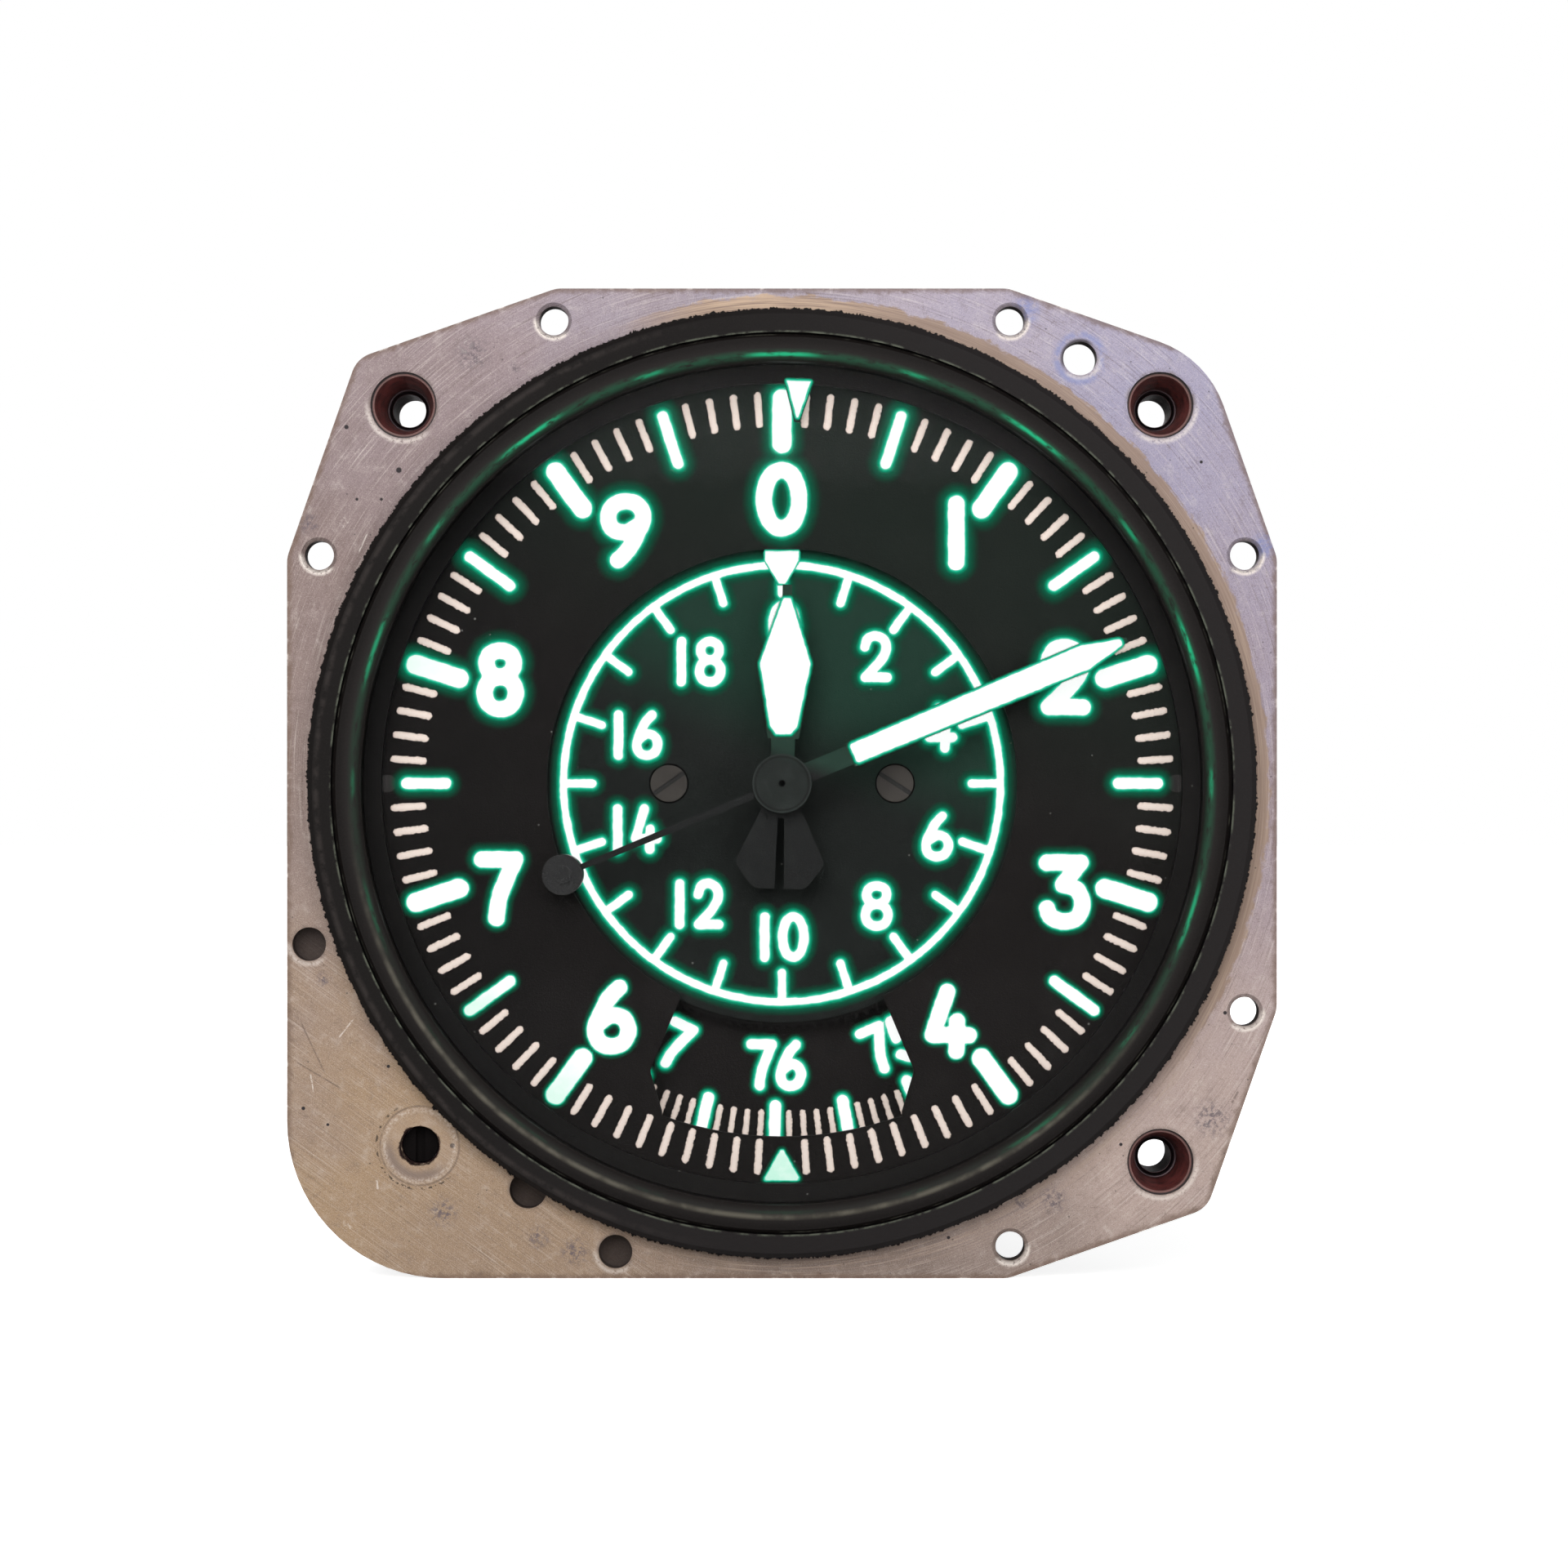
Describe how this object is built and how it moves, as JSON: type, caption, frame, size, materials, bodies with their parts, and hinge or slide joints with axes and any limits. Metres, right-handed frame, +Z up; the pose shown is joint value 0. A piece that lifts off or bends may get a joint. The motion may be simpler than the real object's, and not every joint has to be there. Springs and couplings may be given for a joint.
{
  "type": "aircraft altimeter",
  "caption": "Two-pointer aircraft altimeter: square flange, round case, pressure scale in a window, capsule and gear movement inside, static nipple at the rear.",
  "frame": {"origin": "on the dial axis, in the flange's front face, which is the panel seat", "axes": "-Y out of the dial towards the pilot, +Y along the case, +Z up through 0 on the dial, +X to the right when the dial is seen from the front"},
  "size_m": [0.085, 0.1101, 0.085],
  "materials": {
    "casting": "worn bare casting, black paint on the spigot and barrel",
    "black_paint": "matte black paint",
    "dial_black": "matte black with luminous and white marks",
    "hand_paint": "matte black with luminous bars",
    "fibre": "red-brown fibre",
    "steel": "turned steel",
    "dark_steel": "browned steel",
    "brass": "cut brass",
    "bronze": "corrugated bronze",
    "plate_alloy": "milled alloy",
    "rubber": "moulded rubber",
    "glass": "clear flat glass"
  },
  "bodies": {
    "case": {"case_casting": "casting", "corner_collars": "fibre", "corner_inserts": "steel", "retaining_ring": "black_paint", "cover_glass": "glass", "glass_gasket": "rubber", "main_dial": "dial_black", "dial_screws": "dark_steel", "dial_carrier": "plate_alloy", "carrier_screws": "steel", "sub_dial": "dial_black", "sub_dial_screws": "dark_steel", "centre_post": "brass", "spindle_packing": "rubber", "gland_nut": "brass", "index_stud": "steel", "front_plate": "plate_alloy", "rear_plate": "plate_alloy", "plate_pillars": "brass", "plate_screws": "steel", "movement_screws": "dark_steel", "pivot_bushes": "brass", "rocking_bridge": "plate_alloy", "capsule_bracket": "plate_alloy", "capsule_foot": "brass", "lower_capsule": "bronze", "upper_capsule": "bronze", "hairspring": "steel", "hairspring_stud": "brass", "rear_cover": "black_paint", "cover_gasket": "rubber", "cover_screws": "dark_steel", "static_port": "brass", "port_washer": "fibre"},
    "short_hand": {"short_hand": "hand_paint", "short_hand_tube": "steel", "tube_wheel": "brass", "hairspring_collet": "brass"},
    "long_hand": {"long_hand": "hand_paint", "hand_hub": "hand_paint", "hand_counterweight": "hand_paint", "centre_arbor": "steel"},
    "train_arbor": {"train_arbor": "steel", "train_wheel": "brass"},
    "rocking_shaft": {"rocking_shaft": "steel", "sector_gear": "brass", "bimetal_arm": "steel", "balance_weight": "brass"},
    "link": {"link_rod": "steel"},
    "capsule_stem": {"capsule_stem": "brass"},
    "setting_wheel": {"setting_wheel": "brass", "scale_hub": "brass", "pressure_disc": "dial_black"},
    "setting_spindle": {"setting_spindle": "dark_steel", "index_pinion": "brass", "scale_pinion": "brass"},
    "outer_index": {"outer_index_ring": "dial_black"},
    "index_wheel": {"index_wheel": "brass"},
    "inner_index": {"inner_index_disc": "dial_black"}
  },
  "joints": [
    {"name": "short_hand_turn", "type": "hinge", "parent": "case", "child": "short_hand", "pos_m": [0, 0, 0], "axis": [0, 1, 0], "range_deg": [-3.37, 356.63], "stiffness_Nm_per_rad": 0.01, "deforming": ["hairspring"]},
    {"name": "long_hand_turn", "type": "hinge", "parent": "case", "child": "long_hand", "pos_m": [0, 0, 0], "axis": [0, 1, 0], "range_deg": [-67.47, 7139.73]},
    {"name": "train_arbor_turn", "type": "hinge", "parent": "case", "child": "train_arbor", "pos_m": [0, 0, -0.0135], "axis": [0, 1, 0], "range_deg": [-1427.95, 13.49]},
    {"name": "rocking_shaft_turn", "type": "hinge", "parent": "case", "child": "rocking_shaft", "pos_m": [-0.00786, 0, 0.02478], "axis": [0, 1, 0], "range_deg": [-29.75, 0.28]},
    {"name": "link_turn", "type": "hinge", "parent": "rocking_shaft", "child": "link", "pos_m": [-0.00013, 0, 0.02275], "axis": [0, 1, 0], "range_deg": [-0.28, 29.75]},
    {"name": "capsule_stretch", "type": "slide", "parent": "case", "child": "capsule_stem", "axis": [0, 0, 1], "range_m": [-0.00004, 0.00411], "deforming": ["lower_capsule", "upper_capsule"]},
    {"name": "scale_turn", "type": "hinge", "parent": "case", "child": "setting_wheel", "pos_m": [0, 0, 0], "axis": [0, 1, 0], "range_deg": [-72, 216]},
    {"name": "setting_spindle_turn", "type": "hinge", "parent": "case", "child": "setting_spindle", "pos_m": [-0.03111, 0, -0.03111], "axis": [0, 1, 0], "range_deg": [-1595.88, 531.96]},
    {"name": "outer_index_turn", "type": "hinge", "parent": "case", "child": "outer_index", "pos_m": [0, 0, 0], "axis": [0, 1, 0], "range_deg": [-118.21, 354.64]},
    {"name": "index_wheel_turn", "type": "hinge", "parent": "case", "child": "index_wheel", "pos_m": [0, 0, 0.0228], "axis": [0, 1, 0], "range_deg": [-253.28, 84.43]},
    {"name": "inner_index_turn", "type": "hinge", "parent": "case", "child": "inner_index", "pos_m": [0, 0, 0], "axis": [0, 1, 0], "range_deg": [-5.95, 17.84]}
  ],
  "couplings": [
    {"joint": "long_hand_turn", "follows": "short_hand_turn", "ratio": 20},
    {"joint": "train_arbor_turn", "follows": "short_hand_turn", "ratio": -4},
    {"joint": "rocking_shaft_turn", "follows": "short_hand_turn", "ratio": -0.083333},
    {"joint": "link_turn", "follows": "short_hand_turn", "ratio": 0.083333},
    {"joint": "capsule_stretch", "follows": "short_hand_turn", "m_per_rad": 0.00065908},
    {"joint": "setting_spindle_turn", "follows": "scale_turn", "ratio": -7.381},
    {"joint": "outer_index_turn", "follows": "scale_turn", "ratio": 1.6402},
    {"joint": "index_wheel_turn", "follows": "scale_turn", "ratio": -1.1714},
    {"joint": "inner_index_turn", "follows": "scale_turn", "ratio": 0.082495}
  ]
}
